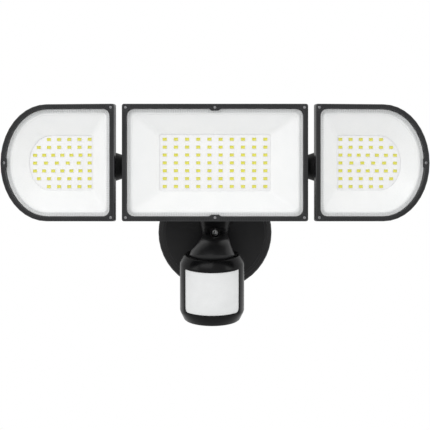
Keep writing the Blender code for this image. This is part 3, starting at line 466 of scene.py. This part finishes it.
def addTeeth(bm, name, look, normal, screws):
    path, center = frontLoop(meshOf(name, 0.0), normal, look["side"])
    count = 0
    travelled = look["pitch"] / 2
    for start, end in zip(path, path[1:] + path[:1]):
        along = end - start
        length = along.length
        along.normalize()
        while travelled < length:
            spot = start + along * travelled
            if all((spot - screw).length > look["clear"] for screw in screws):
                addTooth(bm, look, spot, along, normal, center)
                count += 1
            travelled += look["pitch"]
        travelled -= length
    return count


def makeToothed(headName, part, look):
    name = headName + "_" + part
    bm = meshOf(name, look["soften"])
    normal = frontOf(headName)
    boxes = [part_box(node) for node in frame["nodes"] if node.startswith(headName + "_screw")]
    spots = [(Vector(low) + Vector(high)) / 2 for low, high in boxes]
    level = max(v.co.dot(normal) for v in bm.verts)
    screws = [spot + normal * (level - spot.dot(normal)) for spot in spots]
    count = addTeeth(bm, name, look, normal, screws)
    bmesh.ops.recalc_face_normals(bm, faces=bm.faces)
    made = makeObject(bm, name + "Ribbed", look["finishes"])
    settle(made, bodyOf[name], slotOf[name], name)
    return count


for headName in ("center", "left", "right"):
    teeth = makeToothed(headName, "lens_gasket", gasketLook)
    ribs = makeToothed(headName, "bezel", ribLook)
    print(headName, "gasket teeth:", teeth, "bezel ribs:", ribs)


# clear lenses
lensLook = {"soften": 0.0004, "finish": "clearLens"}


def makeLens(headName):
    name = headName + "_lens"
    bm = meshOf(name, lensLook["soften"])
    made = makeObject(bm, headName + "ClearLens", [lensLook["finish"]])
    settle(made, bodyOf[name], slotOf[name], name)


for headName in ("center", "left", "right"):
    makeLens(headName)


# cross recesses are cut into the screw heads
screwLook = {
    "small": {"across": 0.0017, "slot": 0.00042, "deep": 0.00055, "finish": "screwPlate"},
    "large": {"across": 0.0038, "slot": 0.0009, "deep": 0.0013, "finish": "brightScrew"},
}
crossLook = {"turns": (20, 110), "smooth": 40}


def crossCutter(spot, axis, look):
    bm = bmesh.new()
    for turn in crossLook["turns"]:
        size = (look["across"], look["slot"], 2 * look["deep"])
        bar = bmesh.ops.create_cube(bm, size=1.0)["verts"]
        bmesh.ops.scale(bm, vec=size, verts=bar)
        spin = Matrix.Rotation(math.radians(turn), 3, "Z")
        bmesh.ops.rotate(bm, verts=bar, cent=(0, 0, 0), matrix=spin)
    point = bm.verts[:]
    aim = axis.to_track_quat("Z", "Y").to_matrix()
    bmesh.ops.rotate(bm, verts=point, cent=(0, 0, 0), matrix=aim)
    bmesh.ops.translate(bm, verts=point, vec=spot)
    mesh = bpy.data.meshes.new("cross")
    bm.to_mesh(mesh)
    bm.free()
    cutter = bpy.data.objects.new("cross", mesh)
    bpy.context.scene.collection.objects.link(cutter)
    return cutter


def cutCross(name, axis, kind):
    look = screwLook[kind]
    bm = meshOf(name, 0.0)
    reach = max(v.co.dot(axis) for v in bm.verts)
    low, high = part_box(name)
    middle = (Vector(low) + Vector(high)) / 2
    spot = middle + axis * (reach - middle.dot(axis))
    made = makeObject(bm, name + "Cross", [look["finish"]], crossLook["smooth"])
    cutter = crossCutter(spot, axis, look)
    modifier = made.modifiers.new("cross", "BOOLEAN")
    modifier.operation = "DIFFERENCE"
    modifier.solver = "EXACT"
    modifier.use_self = True
    modifier.object = cutter
    graph = bpy.context.evaluated_depsgraph_get()
    mesh = bpy.data.meshes.new_from_object(made.evaluated_get(graph))
    made.modifiers.clear()
    made.data = mesh
    mesh.set_sharp_from_angle(angle=math.radians(crossLook["smooth"]))
    bpy.data.objects.remove(cutter)
    settle(made, bodyOf[name], slotOf[name], name)


for name in frame["nodes"]:
    if "_screw_" in name and not name.startswith("arm"):
        cutCross(name, frontOf(name.split("_")[0]), "small")
cutCross("canopy_screw", Vector((0, -1, 0)), "large")
cutCross("ground_screw", Vector((0, -1, 0)), "large")
for side in ("left", "right"):
    cutCross("arm_screw_" + side, Vector((0, 1, 0)), "large")
    cutCross(side + "_tilt_bolt", Vector((1 if side == "left" else -1, 0, 0)), "large")
    cutCross(side + "_pan_pin", Vector((0, 0, 1)), "large")

smallDressing = {
    "hinge_bolt": ("zincPlate", 0.0003), "time_knob": ("knobWhite", 0.0002),
    "lux_knob": ("knobWhite", 0.0002), "range_knob": ("knobWhite", 0.0002),
    "sensor_lens": ("windowWhite", 0.0003),
}
for name, (finish, soften) in smallDressing.items():
    dress(name, finish, soften)
print("screws and knobs made")


# studio: white world, soft boxes and a pale floor
studioLook = {"fill": 0.95, "aim": (0, -0.1, 0.03), "floor": 0.7, "floorHeight": -0.25, "floorRough": 0.6,
              "cloud": 3.0, "dark": (0.86, 0.86, 0.86), "pale": (0.90, 0.90, 0.90)}
lightLook = {
    "key": {"place": (-0.6, -1.6, 1.3), "size": (1.4, 1.0), "power": 9.0},
    "side": {"place": (1.5, -0.9, 0.5), "size": (0.7, 1.2), "power": 4.0},
    "sideLeft": {"place": (-1.5, -0.9, 0.5), "size": (0.7, 1.2), "power": 4.0},
}


def makeLight(name, look):
    data = bpy.data.lights.new(name, "AREA")
    data.shape = "RECTANGLE"
    data.size, data.size_y = look["size"]
    data.energy = look["power"]
    light = bpy.data.objects.new(name, data)
    light.location = look["place"]
    toward = Vector(studioLook["aim"]) - Vector(look["place"])
    light.rotation_euler = toward.to_track_quat("-Z", "Y").to_euler()
    bpy.context.scene.collection.objects.link(light)


def makeStudio():
    world = bpy.data.worlds.new("studio")
    bpy.context.scene.world = world
    world.use_nodes = True
    tree = world.node_tree
    path = tree.nodes.new("ShaderNodeLightPath")
    mix = tree.nodes.new("ShaderNodeMixShader")
    seen = tree.nodes["Background"]
    seen.inputs[0].default_value = (1, 1, 1, 1)
    fill = tree.nodes.new("ShaderNodeBackground")
    fill.inputs[1].default_value = studioLook["fill"]
    tree.links.new(path.outputs["Is Camera Ray"], mix.inputs[0])
    tree.links.new(fill.outputs[0], mix.inputs[1])
    tree.links.new(seen.outputs[0], mix.inputs[2])
    tree.links.new(mix.outputs[0], tree.nodes["World Output"].inputs[0])
    for name, look in lightLook.items():
        makeLight(name, look)
    bpy.context.scene.view_settings.view_transform = "Standard"


def makeFloor():
    bm = bmesh.new()
    bmesh.ops.create_circle(bm, cap_ends=True, segments=96, radius=studioLook["floor"])
    bmesh.ops.translate(bm, verts=bm.verts, vec=(0, 0, studioLook["floorHeight"]))
    finish = Finish("paleFloor", Roughness=studioLook["floorRough"])
    cloud = finish.noise(studioLook["cloud"])
    finish.set(Base_Color=finish.tint(cloud, studioLook["dark"], studioLook["pale"]))
    materials["paleFloor"] = finish.material
    floor = makeObject(bm, "floor", ["paleFloor"])


makeStudio()
makeFloor()
print("studio ready")
